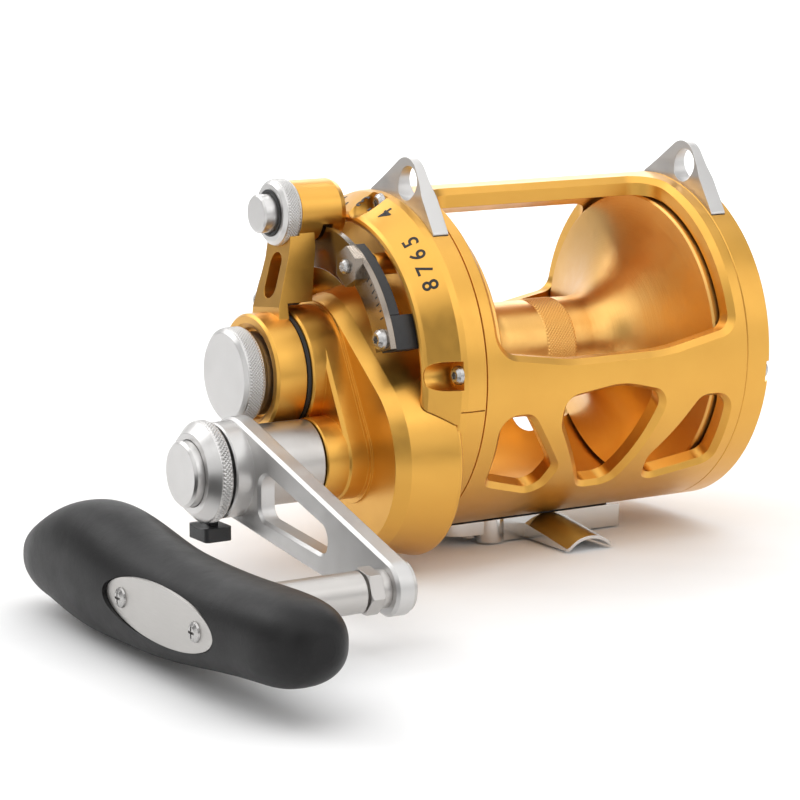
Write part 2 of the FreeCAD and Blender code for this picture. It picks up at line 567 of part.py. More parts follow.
KEY_W, KEY_X, KEY_REACH = 2.0, -62.6, 6.2
high_gear = gear(HIGH_TEETH, GEAR_X[0], GEAR_X[1], CRANK_ANGLE + 180.0, CRANK_Y, CRANK_Z)
high_gear = high_gear.fuse(rod(-66.2, GEAR_X[0], 8.0, CRANK_Y, CRANK_Z))
high_gear = high_gear.cut(tube(-70, GEAR_X[0] + 1.4, 20.8, 9.5, CRANK_Y, CRANK_Z))
for i in range(6):
    hy, hz = polar(15.2, 60 * i + 30, CRANK_Y, CRANK_Z)
    high_gear = high_gear.cut(rod(-70, -59, 3.8, hy, hz))
high_gear = high_gear.cut(rod(-70, -59, SHAFT_R, CRANK_Y, CRANK_Z))
key_way = block(-70, -50, CRANK_Y - KEY_W / 2 - 0.1, CRANK_Y + KEY_W / 2 + 0.1,
                CRANK_Z - KEY_REACH - 0.2, CRANK_Z + KEY_REACH + 0.2)
high_gear = high_gear.cut(key_way).removeSplitter()
save("high_speed_gear", high_gear)

low_gear = gear(LOW_TEETH, LOW_X[0], LOW_X[1], CRANK_ANGLE + 180.0, CRANK_Y, CRANK_Z)
for i in range(5):
    hy, hz = polar(12.0, 72 * i + 36, CRANK_Y, CRANK_Z)
    low_gear = low_gear.cut(rod(-70, -50, 2.8, hy, hz))
low_gear = low_gear.cut(rod(-70, -50, SHAFT_R + RUN, CRANK_Y, CRANK_Z))
low_gear = low_gear.cut(rod(-70, LOW_X[0] + 1.8, KEY_REACH + 0.5, CRANK_Y, CRANK_Z))
save("low_speed_gear", low_gear)

# ---- crank shaft and shift mechanism ---------------------------------------------------------------
ROD_R = 2.0
crank_shaft = rod(-127.55, -50.4, SHAFT_R, CRANK_Y, CRANK_Z)
crank_shaft = crank_shaft.cut(rod(-129, -56.0, ROD_R + RUN, CRANK_Y, CRANK_Z))
crank_shaft = crank_shaft.cut(block(-64.4, -57.2, CRANK_Y - KEY_W / 2 - 0.05, CRANK_Y + KEY_W / 2 + 0.05,
                                    CRANK_Z - 8, CRANK_Z + 8))
save("crank_shaft", crank_shaft)
key = block(KEY_X - 0.8, KEY_X + 0.8, CRANK_Y - KEY_W / 2, CRANK_Y + KEY_W / 2,
            CRANK_Z - KEY_REACH, CRANK_Z + KEY_REACH)
save("shift_key", key)
BUTTON_X, BUTTON_BACK = -136.5, -132.1
shift_button = turned([(BUTTON_X, 0), (BUTTON_X, 9.2), (BUTTON_X + 0.8, 10.0), (BUTTON_BACK, 10.0),
                       (BUTTON_BACK, 7.2), (-134.8, 7.2), (-134.8, 0)], CRANK_Y, CRANK_Z)
shift_button = shift_button.fuse(rod(-134.9, KEY_X - 0.8, ROD_R, CRANK_Y, CRANK_Z)).removeSplitter()
save("shift_button", shift_button)
save("shift_spring", coil(-134.35, 3.1, 2.0, 6.2, 0.35, CRANK_Y, CRANK_Z))
NUT_R = 15.1
crank_nut = turned([(-126.2, SHAFT_R), (-126.2, 14.5), (-126.7, NUT_R), (-130.2, NUT_R), (-133.3, 12.1),
                    (-133.3, 10.2), (-127.6, 10.2), (-127.6, SHAFT_R)], CRANK_Y, CRANK_Z)
save("crank_nut", crank_nut)
bush_crank = [tube(a, b, 8.48, SHAFT_R + RUN, CRANK_Y, CRANK_Z) for a, b in ((-92.8, -88.2), (-72.0, -67.4))]
save("crank_bearings", Part.makeCompound(bush_crank))
save("inner_bush", tube(-53.0, -50.25, 6.98, SHAFT_R + RUN, CRANK_Y, CRANK_Z))
sleeve = turned([(ARM_X[1], SHAFT_R), (ARM_X[1], 12.5), (-93.8, 12.5), (-93.4, 12.1), (-93.4, SHAFT_R)],
                CRANK_Y, CRANK_Z)
save("crank_sleeve", sleeve)

# ---- crank arm -----------------------------------------------------------------------------------
HUB_R, ARM_HUB_R, TIP_R = 14.5, 15.6, 8.1
arm = belt([(CRANK_Y, CRANK_Z, ARM_HUB_R), (GRIP_Y, GRIP_Z, TIP_R)], ARM_X[0], ARM_X[1])
window = plate([(-37.0, -21.4), (-77.5, -32.6), (-76.0, -40.2), (-37.0, -36.4)], ARM_X[0] - 5, ARM_X[1] + 5,
               [5.0, 4.5, 3.6, 4.0])
arm = arm.cut(window)
front_rims = edges_where(arm, lambda x, y, z: abs(x - ARM_X[0]) < 0.01)
arm = arm.makeChamfer(0.9, front_rims)
arm = arm.fuse(turned([(-125.0, 0), (-125.0, HUB_R - 0.5), (-124.5, HUB_R), (ARM_X[1], HUB_R), (ARM_X[1], 0)],
                      CRANK_Y, CRANK_Z)).removeSplitter()
arm = arm.cut(rod(-126, -110, SHAFT_R, CRANK_Y, CRANK_Z))
SPINDLE_R, SPINDLE_CORE_R = 5.95, 4.0
arm = arm.cut(rod(-126, -110, SPINDLE_CORE_R, GRIP_Y, GRIP_Z))
save("crank_arm", arm)

TAB_TRAVEL = 1.4
TAB_X = (-126.1, -125.1)
tab = rod(TAB_X[0], TAB_X[1], 10.8, CRANK_Y, CRANK_Z)
tab = tab.fuse(block(TAB_X[0], TAB_X[1], CRANK_Y - 2.2, CRANK_Y + 2.2, CRANK_Z - 17.7, CRANK_Z))
paddle = column([(-131.0, CRANK_Y - 5.7), (-122.0, CRANK_Y - 5.7), (-122.0, CRANK_Y + 6.1),
                 (-131.0, CRANK_Y + 6.1)], CRANK_Z - 20.6, CRANK_Z - 16.4, 1.4)
paddle = paddle.cut(rod(-131.5, TAB_X[0] - 0.02, NUT_R + TAB_TRAVEL + 0.55, CRANK_Y, CRANK_Z))
tab = tab.fuse(paddle).removeSplitter()
tab = tab.cut(belt([(CRANK_Y, CRANK_Z, SHAFT_R + RUN), (CRANK_Y, CRANK_Z - TAB_TRAVEL - 0.1, SHAFT_R + RUN)],
                   TAB_X[0] - 1, TAB_X[1] + 1))
save("release_tab", tab)

# ---- grip spindle and grip -------------------------------------------------------------------------
NUT_X = (-126.5, -122.1)
spindle = fuse([rod(-161.6, NUT_X[0] - 0.9, SPINDLE_R, GRIP_Y, GRIP_Z),
                rod(GRIP_X - 9.0, -111.9, SPINDLE_CORE_R, GRIP_Y, GRIP_Z)])
save("grip_spindle", spindle)
hexagon = [polar(11.8 / math.sqrt(3), 60 * i + 10, GRIP_Y, GRIP_Z) for i in range(6)]
hex_nut = plate(hexagon, NUT_X[0], NUT_X[1])
hex_nut = hex_nut.common(turned([(NUT_X[0], 0), (NUT_X[0], 6.1), (NUT_X[0] + 0.7, 7.0), (NUT_X[1] - 0.5, 7.0),
                                 (NUT_X[1], 6.4), (NUT_X[1], 0)], GRIP_Y, GRIP_Z))
hex_nut = hex_nut.fuse(rod(NUT_X[1] - 1.0, ARM_X[0] - 0.05, 5.5, GRIP_Y, GRIP_Z)).removeSplitter()
hex_nut = hex_nut.cut(rod(-128, -118, SPINDLE_CORE_R, GRIP_Y, GRIP_Z))
save("spindle_nut", hex_nut)
rear_bush = turned([(-113.75, SPINDLE_CORE_R), (-113.75, 7.3), (-112.4, 7.3), (-111.9, 6.6),
                    (-111.9, SPINDLE_CORE_R)], GRIP_Y, GRIP_Z)
save("spindle_bush", rear_bush)

# sections of the grip: distance from the spindle along Y, half width along X, half height, height offset
GRIP_SECTIONS = [
    (-62.5, 3.4, 3.4, 4.2), (-61.0, 7.2, 6.6, 4.1), (-57.0, 10.4, 9.6, 3.8), (-49.0, 12.6, 11.8, 3.2),
    (-34.0, 13.5, 12.4, 2.4), (-16.0, 14.0, 13.0, 1.0), (4.0, 14.3, 14.3, -0.3), (22.0, 14.6, 15.5, -0.6),
    (42.0, 15.0, 17.4, 0.6), (60.0, 14.8, 18.2, 1.4), (76.0, 13.8, 15.8, 1.0), (88.0, 12.2, 12.6, -0.8),
    (96.0, 10.0, 9.8, -2.0), (102.0, 7.0, 6.8, -3.0), (104.5, 3.6, 3.4, -3.6),
]


def grip_section(dy, half_x, half_z, dz):
    points = []
    for i in range(20):
        a = 2 * math.pi * i / 20
        c, s = math.cos(a), math.sin(a)
        k = (abs(c) ** 2.3 + abs(s) ** 2.3) ** (-1 / 2.3)
        points.append(at(GRIP_X + half_x * k * c, GRIP_Y + dy, GRIP_Z + dz + half_z * k * s))
    curve = Part.BSplineCurve()
    curve.interpolate(points, True)
    return Part.Wire([curve.toShape()])


grip = Part.makeLoft([grip_section(*s) for s in GRIP_SECTIONS], True, False)
OVAL = (30.9, 8.0)
OVAL_Y, OVAL_Z = GRIP_Y + 2.4, GRIP_Z + 1.2
POCKET_X = GRIP_X - 12.6   # floor of the pocket for the grip plate


def oval_prism(x0, x1, grow=0.0):
    ellipse = Part.Ellipse(FreeCAD.Vector(0, 0, 0), OVAL[0] + grow, OVAL[1] + grow)
    face = Part.Face(Part.Wire([ellipse.toShape()]))
    face.rotate(FreeCAD.Vector(0, 0, 0), FreeCAD.Vector(0, 0, 1), 90)
    face.rotate(FreeCAD.Vector(0, 0, 0), FreeCAD.Vector(0, 1, 0), 90)
    return moved(face.extrude(FreeCAD.Vector(x1 - x0, 0, 0)), x0, OVAL_Y, AXIS_Z + OVAL_Z)


grip = grip.cut(oval_prism(POCKET_X - 14, POCKET_X, 0.25))
grip = grip.cut(rod(POCKET_X + 1.6, GRIP_X + 30, 6.2, GRIP_Y, GRIP_Z))
save("grip", grip)
grip_core = rod(POCKET_X + 1.7, -161.9, 6.15, GRIP_Y, GRIP_Z)
grip_core = grip_core.cut(rod(GRIP_X - 9.3, -150, SPINDLE_CORE_R + RUN, GRIP_Y, GRIP_Z))
save("grip_core", grip_core)
OVAL_FACE_X = POCKET_X - 1.0
oval = oval_prism(OVAL_FACE_X, POCKET_X - 0.05)
GRIP_SCREW_Y = [OVAL_Y - 21.6, OVAL_Y + 21.6]
for sy in GRIP_SCREW_Y:
    oval = oval.cut(rod(OVAL_FACE_X - 1, POCKET_X + 1, 1.3, sy, OVAL_Z))
save("grip_plate", oval)
grip_screws = []
for sy in GRIP_SCREW_Y:
    x0 = OVAL_FACE_X - 0.02
    head = turned([(x0 - 1.4, 0), (x0 - 1.3, 1.6), (x0 - 0.6, 2.7), (x0, 2.9), (x0, 0)], sy, OVAL_Z)
    cross = block(x0 - 2, x0 - 0.6, sy - 1.6, sy + 1.6, OVAL_Z - 0.35, OVAL_Z + 0.35)
    cross = cross.fuse(block(x0 - 2, x0 - 0.6, sy - 0.35, sy + 0.35, OVAL_Z - 1.6, OVAL_Z + 1.6))
    pin = rod(x0 - 0.1, POCKET_X - 0.05, 1.25, sy, OVAL_Z)
    grip_screws.append(head.cut(cross).fuse(pin).removeSplitter())
save("grip_screws", Part.makeCompound(grip_screws))

# ---- quadrant ----------------------------------------------------------------------------------------
QUAD = (19.0, 165.0)
QUAD_X = (-77.1, -75.1)
quadrant = sector(35.6, 44.5, QUAD[0], QUAD[1], QUAD_X[0], QUAD_X[1])
quadrant = quadrant.fuse(sector(31.0, 37.0, 52.0, 118.0, QUAD_X[0], QUAD_X[1])).removeSplitter()
for a in QUADRANT_POSTS:
    sy, sz = polar(POST_R, a)
    quadrant = quadrant.cut(rod(-80, -70, 1.6, sy, sz))
save("quadrant", quadrant)
strip = sector(40.5, 44.2, 114.5, 151.5, -75.05, -71.6)
strip = strip.cut(rod(-80, -70, 3.05, *polar(POST_R, QUADRANT_POSTS[1])))
save("quadrant_strip", strip)
stops = []
for a, up, down in ((QUADRANT_POSTS[0], 5.8, 5.8), (QUADRANT_POSTS[2], 8.2, 5.6)):
    stop = sector(35.8, 44.4, a - up, a + down, -75.05, -65.6)
    sy, sz = polar(POST_R, a)
    stops.append(stop.cut(rod(-80, -60, 3.45, sy, sz)))
save("quadrant_stops", Part.makeCompound(stops))
quad_spacers = []
quad_screws = []
for a in QUADRANT_POSTS:
    sy, sz = polar(POST_R, a)
    quad_spacers.append(tube(-75.05, -70.65, 3.0, 1.6, sy, sz))
for a in (QUADRANT_POSTS[0], QUADRANT_POSTS[2]):
    sy, sz = polar(POST_R, a)
    quad_screws.append(torx_screw(QUAD_X[0] - 0.02, sy, sz, 3.2, 2.2, 1.5, 15.0))
save("quadrant_spacers", Part.makeCompound(quad_spacers))
save("quadrant_screws", Part.makeCompound(quad_screws))
stop_y, stop_z = polar(POST_R, QUADRANT_POSTS[1])
STRIKE_X = -79.9
strike = plate([polar(6.4, 60 * i + QUADRANT_POSTS[1] + 30, stop_y, stop_z) for i in range(6)], STRIKE_X, -77.15, 0.4)
strike = strike.cut(rod(-85, -70, 1.6, stop_y, stop_z))
save("strike_stop", strike)
stop_screw = turned([(STRIKE_X - 1.5, 0), (STRIKE_X - 1.5, 1.5), (STRIKE_X - 0.8, 2.2), (STRIKE_X - 0.02, 2.3),
                     (STRIKE_X - 0.02, 0)], stop_y, stop_z)
stop_slot = block(STRIKE_X - 3, STRIKE_X - 0.9, stop_y - 4, stop_y + 4, stop_z - 0.35, stop_z + 0.35)
stop_screw = stop_screw.cut(spun(stop_slot, 20, stop_y, stop_z))
stop_screw = stop_screw.fuse(rod(STRIKE_X - 0.1, -62.0, 1.5, stop_y, stop_z)).removeSplitter()
save("strike_stop_screw", stop_screw)

# ---- drag lever, its cam and the pre-set knob -------------------------------------------------------
LEVER_TURN = LEVER_ANGLE - 90.0
hub = turned([(-91.65, SHAFT_THIN_R + RUN), (-91.65, 18.1), (-92.0, 18.5), (-101.2, 18.5), (-102.0, 17.7),
              (-102.0, 15.6), (-101.0, 14.2), (-98.3, 14.0), (-98.3, SHAFT_THIN_R + RUN)])
side_face = beam([(-95.6, 10), (-94.8, 20), (-89.9, 35), (-88.8, 40.5), (-88.8, 46), (-80.2, 46), (-80.2, 38.0),
                  (-83.0, 21.0), (-91.65, 21.0), (-91.65, 10)], -12, 12)
front_face = plate([(-9.4, 8), (9.4, 8), (7.6, 30), (6.9, 47), (-6.9, 47), (-7.6, 30)], -110, -60)
lever_arm = side_face.common(front_face)
slot = plate([(-3.6, 22.6), (3.6, 22.6), (3.6, 36.6), (-3.6, 36.6)], -110, -60, 3.5)
lever_arm = lever_arm.cut(slot).cut(rod(-100, -85.45, 10.2, 0, LEVER_LENGTH))
lever_arm = spun(lever_arm, LEVER_TURN)
barrel = turned([(-85.4, 0), (-85.4, 9.7), (-71.4, 9.7), (-69.6, 9.0), (-68.75, 7.4), (-68.75, 0)], LEVER_Y, LEVER_Z)
lever = fuse([hub, lever_arm, barrel])
lever = lever.cut(tube(-77.8, -74.3, 45.2, 30.0))
lever = lever.cut(rod(-90, -78.6, 6.1, LEVER_Y, LEVER_Z))
save("drag_lever", lever)
cap = turned([(-85.45, 6.1), (-85.45, 9.7), (-85.8, 10.0), (-90.6, 10.0), (-91.6, 8.8), (-91.6, 6.1)], LEVER_Y, LEVER_Z)
save("lever_cap", cap)
lever_button = turned([(-96.4, 0), (-96.4, 5.4), (-95.8, 6.0), (-84.0, 6.0), (-84.0, 0)], LEVER_Y, LEVER_Z)
save("lever_button", lever_button)
save("lever_spring", coil(-83.55, 3.0, 1.5, 4.2, 0.35, LEVER_Y, LEVER_Z))
save("lever_seal_ring", tube(-91.6, -90.4, 18.6, 15.9))
cam = tube(-91.6, -82.0, 15.5, 10.4)
for i in range(3):
    cam = cam.cut(sector(10, 16, 120 * i + 10, 120 * i + 50, -84.0, -81.0))
save("lever_cam", cam)
follower = fuse([rod(-91.0, -77.0, 9.9), rod(-81.4, -77.0, 15.5)]).cut(rod(-95, -70, SHAFT_THIN_R + RUN))
save("cam_follower", follower)
knob = turned([(-110.8, 0), (-110.8, 13.2), (-109.8, 14.5), (-104.2, 14.5), (-103.7, 13.2), (-102.4, 12.9),
               (-98.9, 12.9), (-98.5, 12.6), (-98.5, 9.2), (-101.6, 9.2), (-101.6, SHAFT_THIN_R + RUN),
               (-105.0, SHAFT_THIN_R + RUN), (-105.0, 0)])
save("preset_knob", knob)
cones = [turned([(-101.4, 3.9), (-100.7, 3.9), (-99.9, 8.8), (-100.6, 8.8)]),
         turned([(-98.5, 3.9), (-99.2, 3.9), (-99.8, 8.8), (-99.1, 8.8)])]
save("preset_springs", Part.makeCompound(cones))

# ---- anti-reverse dogs -----------------------------------------------------------------------------
pins = []
for name, a in zip(("dog_a", "dog_b"), DOG_ANGLES):
    py, pz = polar(DOG_PIVOT_R, a)
    tip_in = polar(38.5, a + 18.0)
    tip_out = polar(41.0, a + 18.6)
    root_in = polar(DOG_PIVOT_R - 2.6, a + 1.0)
    root_out = polar(DOG_PIVOT_R + 2.6, a + 1.0)
    dog = plate([root_in, tip_in, tip_out, root_out], -49.6, -46.6)
    dog = dog.fuse(rod(-49.6, -46.6, 2.6, py, pz)).cut(rod(-50, -46, 1.3 + RUN, py, pz)).removeSplitter()
    save(name, dog)
    pins.append(turned([(-52.2, 0), (-52.2, 1.3), (-46.5, 1.3), (-46.5, 2.0), (-46.2, 2.0), (-46.2, 0)], py, pz))
save("dog_pins", Part.makeCompound(pins))

# ---- click ---------------------------------------------------------------------------------------------
star = []
for i in range(24):
    star.append(polar(13.2, 15 * i))
    star.append(polar(11.4, 15 * i + 7.5))
save("click_ratchet", plate(star, 42.05, 45.2).cut(rod(40, 50, 9.7)))
slider = fuse([
    block(52.6, 55.35, 19.5, 34.0, -5.0, 5.0),
    block(53.0, 60.9, CLICK_SLOT_R - 1.85, CLICK_SLOT_R + 1.85, -1.85, 1.85),
    rod(45.4, 53.0, 1.3, 24.0, 0),
    turned([(59.5, 0), (59.5, 5.0), (63.4, 4.4), (64.0, 3.6), (64.0, 0)], CLICK_SLOT_R, 0),
])
slider = spun(slider, CLICK_ANGLE)
save("click_button", slider)
tongue = plate([(16.6, 0), (20.0, -1.4), (24.0, -2.6), (27.0, 0), (24.0, 2.6), (20.0, 1.4)], 43.0, 45.35, 0.3)
save("click_tongue", spun(tongue, CLICK_ANGLE))
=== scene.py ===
import math

import bmesh
import bpy
from mathutils import Matrix, Vector


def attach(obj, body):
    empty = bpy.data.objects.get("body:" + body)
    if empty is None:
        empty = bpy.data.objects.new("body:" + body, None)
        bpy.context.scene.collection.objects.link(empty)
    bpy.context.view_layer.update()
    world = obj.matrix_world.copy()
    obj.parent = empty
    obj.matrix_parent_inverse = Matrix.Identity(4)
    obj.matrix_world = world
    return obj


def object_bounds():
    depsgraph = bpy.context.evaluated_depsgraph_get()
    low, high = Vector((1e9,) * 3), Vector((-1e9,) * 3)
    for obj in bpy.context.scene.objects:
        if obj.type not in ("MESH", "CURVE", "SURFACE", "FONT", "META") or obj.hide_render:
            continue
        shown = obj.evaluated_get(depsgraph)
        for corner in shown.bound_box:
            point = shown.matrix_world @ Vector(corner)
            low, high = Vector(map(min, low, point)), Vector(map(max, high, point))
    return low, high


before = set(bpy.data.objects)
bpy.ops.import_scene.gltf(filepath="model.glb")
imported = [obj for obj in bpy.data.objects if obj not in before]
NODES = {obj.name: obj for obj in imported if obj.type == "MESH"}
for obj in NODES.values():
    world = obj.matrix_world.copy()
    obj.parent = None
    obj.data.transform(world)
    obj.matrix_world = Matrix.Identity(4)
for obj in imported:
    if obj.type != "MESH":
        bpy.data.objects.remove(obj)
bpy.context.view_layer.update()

MM = 0.001

# ---- layout of the reel, in millimetres: heights are over the rod seat -------------------------
AXIS_Z = 60.0                       # height of the spool's axis
CRANK_R, CRANK_ANGLE = 31.6, 230.4  # crank axis from the spool axis
ARM_LENGTH, ARM_ANGLE = 89.9, 191.8
LEVER_R, LEVER_ANGLE = 48.7, 84.1   # axis of the lever's button from the spool axis


def spot(radius, angle, y=0.0, z=AXIS_Z):
    """(y, z) at a distance and an angle in degrees from a point, which is the spool axis."""
    return y + radius * math.cos(math.radians(angle)), z + radius * math.sin(math.radians(angle))


SPOOL = (0.0, AXIS_Z)
CRANK = spot(CRANK_R, CRANK_ANGLE)
SPINDLE = spot(ARM_LENGTH, ARM_ANGLE, *CRANK)
LEVER = spot(LEVER_R, LEVER_ANGLE)

# ---- colours -----------------------------------------------------------------------------------
GOLD = (0.74, 0.395, 0.070)
GOLD_DEEP = (0.715, 0.375, 0.064)
GOLD_RINGED, GOLD_RINGED_DEEP = (0.84, 0.48, 0.135), (0.82, 0.46, 0.12)
SILVER = (0.62, 0.61, 0.60)
SILVER_DEEP = (0.59, 0.58, 0.57)
STEEL = (0.54, 0.52, 0.50)
STEEL_DEEP = (0.52, 0.50, 0.48)
DARK_STEEL = (0.30, 0.29, 0.28)
BRONZE = (0.62, 0.40, 0.17)


# ---- material helpers --------------------------------------------------------------------------
SOFT_EDGE = 0.00025                 # metres: how far a metal's edges look rounded
SKIN = 0.0002                       # metres: depth of machining marks and blasting
COAT_ROUGHNESS = 0.28
LINES, BROAD_LINES = 5200.0, 900.0  # fineness of the lathe marks


class Graph:
    """A material's node tree with short calls for the nodes used here."""

    def __init__(self, name):
        self.mat = bpy.data.materials.new(name)
        self.mat.use_nodes = True
        self.tree = self.mat.node_tree
        self.tree.nodes.clear()
        self.out = self.tree.nodes.new("ShaderNodeOutputMaterial")
        self.bsdf = self.tree.nodes.new("ShaderNodeBsdfPrincipled")
        self.link(self.bsdf.outputs["BSDF"], self.out.inputs["Surface"])
        self.normal = None
        self.object = self.tree.nodes.new("ShaderNodeTexCoord").outputs["Object"]

    def link(self, a, b):
        self.tree.links.new(a, b)

    def feed(self, socket, value):
        if hasattr(value, "links"):
            self.link(value, socket)
        else:
            socket.default_value = value

    def math(self, op, a, b=0.0):
        n = self.tree.nodes.new("ShaderNodeMath")
        n.operation = op
        self.feed(n.inputs[0], a)
        self.feed(n.inputs[1], b)
        return n.outputs[0]

    def scaled(self, vector, scale):
        n = self.tree.nodes.new("ShaderNodeVectorMath")
        n.operation = "MULTIPLY"
        self.feed(n.inputs[0], vector)
        n.inputs[1].default_value = scale
        return n.outputs[0]

    def noise(self, vector, scale, detail=2.0, rough=0.5):
        n = self.tree.nodes.new("ShaderNodeTexNoise")
        self.feed(n.inputs["Vector"], vector)
        n.inputs["Scale"].default_value = scale
        n.inputs["Detail"].default_value = detail
        n.inputs["Roughness"].default_value = rough
        return n.outputs["Fac"]

    def ramp(self, value, low, high, out_low, out_high):
        n = self.tree.nodes.new("ShaderNodeMapRange")
        self.feed(n.inputs["Value"], value)
        n.inputs["From Min"].default_value = low
        n.inputs["From Max"].default_value = high
        n.inputs["To Min"].default_value = out_low
        n.inputs["To Max"].default_value = out_high
        return n.outputs["Result"]

    def blend(self, value, a, b):
        n = self.tree.nodes.new("ShaderNodeMix")
        n.data_type = "RGBA"
        self.feed(n.inputs["Factor"], value)
        self.feed(n.inputs["A"], a if hasattr(a, "links") else (*a, 1.0))
        self.feed(n.inputs["B"], b if hasattr(b, "links") else (*b, 1.0))
        return n.outputs["Result"]

    def around(self, axis):
        """(x, distance from an axis along X, 0): lathe marks run round that axis."""
        y, z = axis
        shift = self.tree.nodes.new("ShaderNodeVectorMath")
        shift.operation = "SUBTRACT"
        self.link(self.object, shift.inputs[0])
        shift.inputs[1].default_value = (0.0, y * MM, z * MM)
        split = self.tree.nodes.new("ShaderNodeSeparateXYZ")
        self.link(shift.outputs[0], split.inputs[0])
        yy = self.math("MULTIPLY", split.outputs["Y"], split.outputs["Y"])
        zz = self.math("MULTIPLY", split.outputs["Z"], split.outputs["Z"])
        radius = self.math("SQRT", self.math("ADD", yy, zz))
        join = self.tree.nodes.new("ShaderNodeCombineXYZ")
        self.link(split.outputs["X"], join.inputs["X"])
        self.link(radius, join.inputs["Y"])
        return join.outputs[0]

    def bump(self, height, strength, distance):
        n = self.tree.nodes.new("ShaderNodeBump")
        n.inputs["Strength"].default_value = strength
        n.inputs["Distance"].default_value = distance
        self.link(height, n.inputs["Height"])
        if self.normal is not None:
            self.link(self.normal, n.inputs["Normal"])
        self.normal = n.outputs["Normal"]
        self.feed(self.bsdf.inputs["Normal"], self.normal)

    def soft_edges(self, radius):
        n = self.tree.nodes.new("ShaderNodeBevel")
        n.samples = 6
        n.inputs["Radius"].default_value = radius
        self.normal = n.outputs["Normal"]
        self.feed(self.bsdf.inputs["Normal"], self.normal)


def metal(name, colour, deep, rough, axis=None, marks=0.06, blast=0.0, edge=SOFT_EDGE, coat=0.0):
    """A metal with soft edges, and lathe marks round an axis, a blasted skin or a clear coat."""
    g = Graph(name)
    g.soft_edges(edge)
    cloud = g.noise(g.object, 38.0, 3.0)
    g.feed(g.bsdf.inputs["Base Color"], g.blend(g.ramp(cloud, 0.3, 0.7, 0.0, 1.0), colour, deep))
    g.bsdf.inputs["Metallic"].default_value = 1.0
    g.bsdf.inputs["Coat Weight"].default_value = coat
    g.bsdf.inputs["Coat Roughness"].default_value = COAT_ROUGHNESS
    smear = g.noise(g.object, 160.0, 4.0, 0.6)
    g.feed(g.bsdf.inputs["Roughness"], g.ramp(smear, 0.3, 0.7, rough * 0.86, rough * 1.16))
    if axis is not None:
        lines = g.noise(g.around(axis), LINES, 2.0, 0.7)
        broad = g.noise(g.around(axis), BROAD_LINES, 1.0, 0.5)
        both = g.math("ADD", g.math("MULTIPLY", lines, 0.7), g.math("MULTIPLY", broad, 0.6))
        g.bump(both, marks, SKIN)
    if blast > 0.0:
        g.bump(g.noise(g.object, LINES, 3.0, 0.6), blast, SKIN)
    return g.mat


def milled(name, colour, deep, rough, stretch, marks=0.05, edge=SOFT_EDGE):
    """A metal with fine straight marks; stretch is small along the marks."""
    g = Graph(name)
    g.soft_edges(edge)
    cloud = g.noise(g.object, 30.0, 3.0)
    g.feed(g.bsdf.inputs["Base Color"], g.blend(g.ramp(cloud, 0.3, 0.7, 0.0, 1.0), colour, deep))
    g.bsdf.inputs["Metallic"].default_value = 1.0
    lines = g.noise(g.scaled(g.object, stretch), 4200.0, 3.0, 0.6)
    g.feed(g.bsdf.inputs["Roughness"], g.ramp(lines, 0.25, 0.75, rough * 0.8, rough * 1.2))
    g.bump(lines, marks, SKIN)
    return g.mat


def moulded(name, colour, rough, grain, grain_size, spread=0.4, edge=0.0002, shine=0.5):
    """Plastic or rubber with a fine moulded grain and a slight change of tone across it."""
    g = Graph(name)
    g.soft_edges(edge)
    g.bsdf.inputs["Specular IOR Level"].default_value = shine
    cloud = g.noise(g.object, 55.0, 4.0, 0.6)
    light = tuple(min(1.0, c * (1 + spread)) for c in colour)
    dark = tuple(c * (1 - spread) for c in colour)
    g.feed(g.bsdf.inputs["Base Color"], g.blend(g.ramp(cloud, 0.3, 0.7, 0.0, 1.0), dark, light))
    smear = g.noise(g.object, 90.0, 4.0, 0.65)
    g.feed(g.bsdf.inputs["Roughness"], g.ramp(smear, 0.3, 0.7, rough * 0.9, min(1.0, rough * 1.12)))
    g.bump(g.noise(g.object, 1.0 / grain_size, 3.0, 0.6), grain, 0.0003)
    return g.mat


def weave(name, colour, pitch):
    """Carbon friction cloth: two crossing sets of threads."""
    g = Graph(name)
    split = g.tree.nodes.new("ShaderNodeSeparateXYZ")
    g.link(g.object, split.inputs[0])
    a = g.math("SINE", g.math("MULTIPLY", split.outputs["Y"], 2 * math.pi / pitch))
    b = g.math("SINE", g.math("MULTIPLY", split.outputs["Z"], 2 * math.pi / pitch))
    cross = g.math("MULTIPLY", a, b)
    light = tuple(4 * c for c in colour)
    g.feed(g.bsdf.inputs["Base Color"], g.blend(g.ramp(cross, -1, 1, 0, 1), colour, light))
    g.bsdf.inputs["Roughness"].default_value = 0.6
    g.bump(cross, 0.4, 0.0003)
    return g.mat


def paint(names, mat):
    for name in names.split():
        mats = NODES[name].data.materials
        mats.clear()
        mats.append(mat)


# ---- the materials and their nodes ---------------------------------------------------------------
gold_turned = metal("gold_turned", GOLD, GOLD_DEEP, 0.36, SPOOL, 0.06, coat=0.35)
gold_spool = metal("gold_spool", GOLD_RINGED, GOLD_RINGED_DEEP, 0.37, SPOOL, 0.30, coat=0.4)
gold_crank = metal("gold_crank_side", GOLD, GOLD_DEEP, 0.34, SPOOL, 0.06, coat=0.35)
gold_lever = metal("gold_lever", GOLD, GOLD_DEEP, 0.34, LEVER, 0.05, coat=0.35)
silver_knob = metal("silver_knob", SILVER, SILVER_DEEP, 0.34, SPOOL, 0.10, 0.05)
silver_crank = metal("silver_crank", SILVER, SILVER_DEEP, 0.34, CRANK, 0.10, 0.05)
silver_blast = metal("silver_blast", SILVER, SILVER_DEEP, 0.40, None, 0.0, 0.16)
silver_lever = metal("silver_lever", SILVER, SILVER_DEEP, 0.32, LEVER, 0.10)
silver_polish = metal("silver_polish", (0.72, 0.71, 0.70), (0.66, 0.65, 0.63), 0.20,
                      None, 0.0, 0.03)
steel_crank = metal("steel_crank", STEEL, STEEL_DEEP, 0.36, CRANK, 0.14)
steel_spindle = metal("steel_spindle", STEEL, STEEL_DEEP, 0.36, SPINDLE, 0.16)
